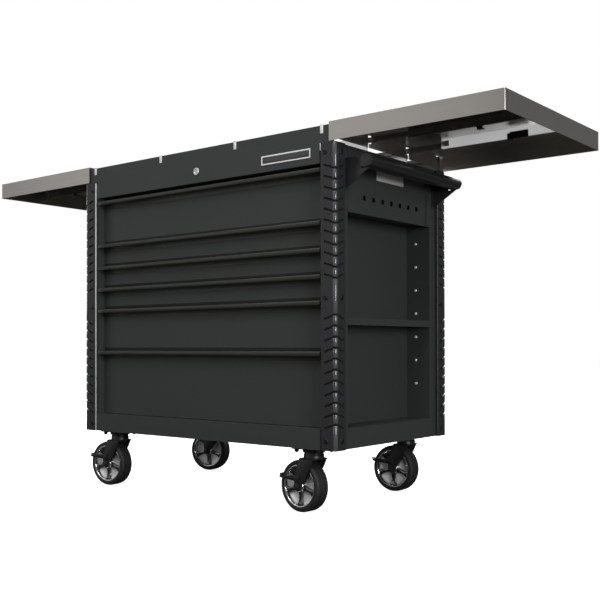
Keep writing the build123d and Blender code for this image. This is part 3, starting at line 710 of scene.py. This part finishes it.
class CHEST_OT_fittings(Operator):
    """Make the screws, shelf studs and handle"""

    bl_idname = "chest.fittings"
    bl_label = "Handle, screws and studs"

    def execute(self, context):
        low, high = (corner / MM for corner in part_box("corner_bumpers"))
        screws = []
        for z in BUMPER_SCREW_HEIGHTS:
            for x in (low.x, high.x):
                for y in (low.y, high.y):
                    way = Vector((math.copysign(1, x), math.copysign(1, y), 0))
                    front = turn_to((0, way.y, 0), (x - 35 * way.x, y, low.z + z))
                    side = turn_to((way.x, 0, 0), (x, y - 30 * way.y, low.z + z))
                    screws += [moved(screw_shape(), front), moved(screw_shape(), side)]
        make_piece("bumper_bolts", joined(screws), "screw", "body", "screw_steel", "bumper_screws")
        low, high = (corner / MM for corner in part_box("shelf_studs"))
        x = (low.x + high.x) / 2
        studs = []
        for i in range(SHELF_STUD_ROWS):
            z = low.z + 4.5 + i * (high.z - low.z - 9) / (SHELF_STUD_ROWS - 1)
            for y, way in ((low.y, 1), (high.y, -1)):
                knob = turned([(0, 0), (3, 0), (3, -1), (4.5, -1.4), (4.5, -2.6), (3.6, -3.5), (0, -3.5)], 28,
                              closed=False)
                studs.append(moved(knob, turn_to((0, way, 0), (x, y, z))))
        make_piece("bay_studs", joined(studs), "bright", "body", "zinc_steel", "shelf_studs")
        low, high = (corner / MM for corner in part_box("handle_grip"))
        section = [(0, 9), (7, 1), (19, 0), (38, 4), (44.5, 16), (44.5, 23), (36, 34), (21, 39), (8, 38), (0, 30)]
        grip = cut_plate([(low.x + a, low.y, low.z + b) for a, b in section], (0, high.y - low.y, 0))
        soften(grip, [e for e in grip.edges if e.calc_length() > 100], 4, 4)
        ends = [e for e in grip.edges if min(abs(e.verts[0].co.y), abs(e.verts[1].co.y)) > high.y - 0.1]
        soften(grip, ends, 4, 4)
        make_piece("push_grip", grip, "handle", "body", "handle_plastic", "handle_grip", angle=60)
        return {"FINISHED"}


# Worktop slides


class CHEST_OT_slides(Operator):
    """Make the bright slide members, end stops and catches under the worktops"""

    bl_idname = "chest.slides"
    bl_label = "Worktop slides"

    def execute(self, context):
        for name in ("right", "left"):
            low, high = (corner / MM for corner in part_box(f"worktop_rails_{name}"))
            x0, x1 = low.x, high.x
            inner, outer = (x0, 1) if name == "right" else (x1, -1)
            top, base = high.z, high.z - SLIDE_HEIGHT
            rails, stops, catches = {}, [], []
            for side in (-1, 1):
                y = SLIDE_Y * side
                section = [(y, top), (y, base), (y + 7 * side, base), (y + 7 * side, base + 1.4),
                           (y + 1.4 * side, base + 1.4), (y + 1.4 * side, top - 1.4), (y + 7 * side, top - 1.4),
                           (y + 7 * side, top)]
                rails[side] = cut_plate([(x0, a, b) for a, b in section], (x1 - x0, 0, 0), edge=0.35)
                x = inner + 14 * outer
                stops.append(slab((x - 12, y - 1.6 * side, base + 6), (x + 12, y, top - 6), 1.4, 3))
                x = x0 + (226 if name == "right" else x1 - x0 - 226)
                far = x + 56 * outer
                if side > 0:
                    catches.append(slab((min(x, far), y - 3 * side, base - 3), (max(x, far), y, base + 17), 0.8))
                catches.append(slab((x - 9, y - 3 * side, base - 7), (x + 9, y, base + 14), 0.8))
                catches.append(slab((x - 9, y - 14 * side, base - 7), (x + 9, y - 2 * side, base - 4), 0.8))
            body = f"worktop_{name}"
            make_piece(f"slide_member_{name}", rails[1], "bright", body, "zinc_steel", f"worktop_rails_{name}")
            make_piece(f"front_member_{name}", rails[-1], "slide", body, "zinc_steel")
            make_piece(f"slide_stop_{name}", joined(stops), "plate", body, "zinc_steel")
            make_piece(f"slide_catch_{name}", joined(catches), "screw", body, "screw_steel")
        return {"FINISHED"}


# Stage


class StageProperties(PropertyGroup):
    """Camera place, turn, lens and rise."""

    camera_place: FloatVectorProperty(
        name="Camera place", description="Where the camera stands",
        subtype="TRANSLATION", unit="LENGTH", size=3, default=(2.05863, -2.33778, 0.48538),
    )
    camera_turn: FloatVectorProperty(
        name="Camera turn", description="Pitch above the horizon, roll and heading",
        subtype="EULER", unit="ROTATION", size=3, default=(0.00913, -0.00191, 0.67766),
    )
    lens: FloatProperty(name="Lens", description="Focal length in millimetres", default=54.892, min=1)
    shift: FloatProperty(name="Rise", description="Vertical lens shift", default=0.06149)


def hang_lamp(light, place, aim):
    """Put a light in the scene, turned to a point."""
    lamp = bpy.data.objects.new(light.name, light)
    bpy.context.collection.objects.link(lamp)
    lamp.location = place
    lamp.rotation_euler = (Vector(aim) - Vector(place)).to_track_quat("-Z", "Y").to_euler()
    return lamp


def soft_light(name, place, aim, size, power):
    """A wide soft area light."""
    light = bpy.data.lights.new(name, "AREA")
    light.shape = "RECTANGLE"
    light.size, light.size_y = size
    light.energy = power
    hang_lamp(light, place, aim)


def low_spot(name, place, aim, spread, power):
    """A narrow lamp from below that reaches only the bright slide under the right-hand worktop."""
    light = bpy.data.lights.new(name, "SPOT")
    light.energy = power
    light.spot_size = math.radians(spread)
    light.spot_blend = 0.3
    light.shadow_soft_size = 0.05
    lit = bpy.data.collections.new("bright_slides")
    lit.objects.link(bpy.data.objects["slide_member_right"])
    hang_lamp(light, place, aim).light_linking.receiver_collection = lit


def stage_floor():
    """A pale floor, bright to the camera and dim in reflections."""
    mesh = bpy.data.meshes.new("studio_floor")
    shape = bmesh.new()
    bmesh.ops.create_grid(shape, x_segments=2, y_segments=2, size=30)
    shape.to_mesh(mesh)
    shape.free()
    floor = bpy.data.objects.new("studio_floor", mesh)
    bpy.context.collection.objects.link(floor)
    material = bpy.data.materials.new("studio_floor")
    material.use_nodes = True
    tree = material.node_tree
    shader = tree.nodes["Principled BSDF"]
    shader.inputs["Base Color"].default_value = (0.93, 0.93, 0.93, 1)
    shader.inputs["Roughness"].default_value = 0.9
    dim = tree.nodes.new("ShaderNodeBsdfDiffuse")
    dim.inputs["Color"].default_value = (0.07, 0.07, 0.066, 1)
    glow = tree.nodes.new("ShaderNodeEmission")
    glow.inputs["Strength"].default_value = 0.84
    seen = tree.nodes.new("ShaderNodeAddShader")
    path = tree.nodes.new("ShaderNodeLightPath")
    mix = tree.nodes.new("ShaderNodeMixShader")
    out = tree.nodes["Material Output"]
    wire(tree, (shader.outputs[0], seen.inputs[0]), (glow.outputs[0], seen.inputs[1]),
         (path.outputs["Is Camera Ray"], mix.inputs["Fac"]), (dim.outputs[0], mix.inputs[1]),
         (seen.outputs[0], mix.inputs[2]), (mix.outputs[0], out.inputs["Surface"]))
    mesh.materials.append(material)


def stage_world():
    """White behind the object and a weak fill everywhere else."""
    world = bpy.data.worlds.new("studio")
    world.use_nodes = True
    tree = world.node_tree
    shown = tree.nodes["Background"]
    shown.inputs["Color"].default_value = (1, 1, 1, 1)
    shown.inputs["Strength"].default_value = 1.0
    fill = tree.nodes.new("ShaderNodeBackground")
    fill.inputs["Color"].default_value = (1, 1, 1, 1)
    fill.inputs["Strength"].default_value = 0.17
    path = tree.nodes.new("ShaderNodeLightPath")
    mix = tree.nodes.new("ShaderNodeMixShader")
    out = tree.nodes["World Output"]
    wire(tree, (path.outputs["Is Camera Ray"], mix.inputs["Fac"]), (fill.outputs[0], mix.inputs[1]),
         (shown.outputs[0], mix.inputs[2]), (mix.outputs[0], out.inputs["Surface"]))
    bpy.context.scene.world = world


class CHEST_OT_stage(Operator):
    """Set up the floor, the lights and the camera"""

    bl_idname = "chest.stage"
    bl_label = "Stage"

    def execute(self, context):
        stage = context.scene.chest_stage
        stage_floor()
        stage_world()
        soft_light("front_softbox", (1.2, -3.4, 4.2), (0, 0, 0.6), (2.4, 2.4), 95)
        soft_light("left_softbox", (-3.4, -4.4, 1.9), (0, 0, 1.0), (4.5, 3.5), 25)
        soft_light("side_softbox", (4.4, -1.9, 1.15), (0, 0, 0.6), (1.5, 1.5), 108)
        soft_light("top_softbox", (0, 0.2, 4.5), (0, 0, 0), (5.0, 4.0), 150)
        soft_light("back_softbox", (-1.6, 4.2, 2.4), (0, 0, 0.5), (3.0, 2.5), 95)
        soft_light("left_end_softbox", (-4.4, 0.6, 1.6), (0, 0, 0.5), (2.5, 2.0), 70)
        low_spot("underside_spot", (0.95, -1.35, 0.2), (0.86, 0.094, 1.095), 22, 80)
        camera = bpy.data.objects.new("camera", bpy.data.cameras.new("camera"))
        context.collection.objects.link(camera)
        camera.data.lens = stage.lens
        camera.data.sensor_width = 36
        camera.data.shift_y = stage.shift
        pitch, roll, heading = stage.camera_turn
        turn = Matrix.Rotation(heading, 4, "Z") @ Matrix.Rotation(math.pi / 2 + pitch, 4, "X")
        turn = turn @ Matrix.Rotation(roll, 4, "Z")
        camera.matrix_world = Matrix.Translation(Vector(stage.camera_place)) @ turn
        context.scene.camera = camera
        context.scene.view_settings.view_transform = "Standard"
        return {"FINISHED"}


class CHEST_PT_tools(Panel):
    """Buttons for each group of pieces"""

    bl_label = "Tool Chest"
    bl_idname = "CHEST_PT_tools"
    bl_space_type = "VIEW_3D"
    bl_region_type = "UI"
    bl_category = "Tool Chest"

    def draw(self, context):
        for operator in OPERATORS:
            self.layout.operator(operator.bl_idname)


OPERATORS = (
    CHEST_OT_finishes, CHEST_OT_casters, CHEST_OT_pulls, CHEST_OT_shadow_strips, CHEST_OT_fascia, CHEST_OT_bumpers,
    CHEST_OT_fittings, CHEST_OT_slides, CHEST_OT_stage,
)
CLASSES = (FinishProperties, StageProperties, *OPERATORS, CHEST_PT_tools)


def register():
    for item in CLASSES:
        bpy.utils.register_class(item)
    bpy.types.Scene.chest_finish = PointerProperty(type=FinishProperties)
    bpy.types.Scene.chest_stage = PointerProperty(type=StageProperties)


def unregister():
    del bpy.types.Scene.chest_stage
    del bpy.types.Scene.chest_finish
    for item in reversed(CLASSES):
        bpy.utils.unregister_class(item)


def main():
    register()
    for operator in OPERATORS:
        group, name = operator.bl_idname.split(".")
        getattr(getattr(bpy.ops, group), name)()


if __name__ == "__main__":
    main()
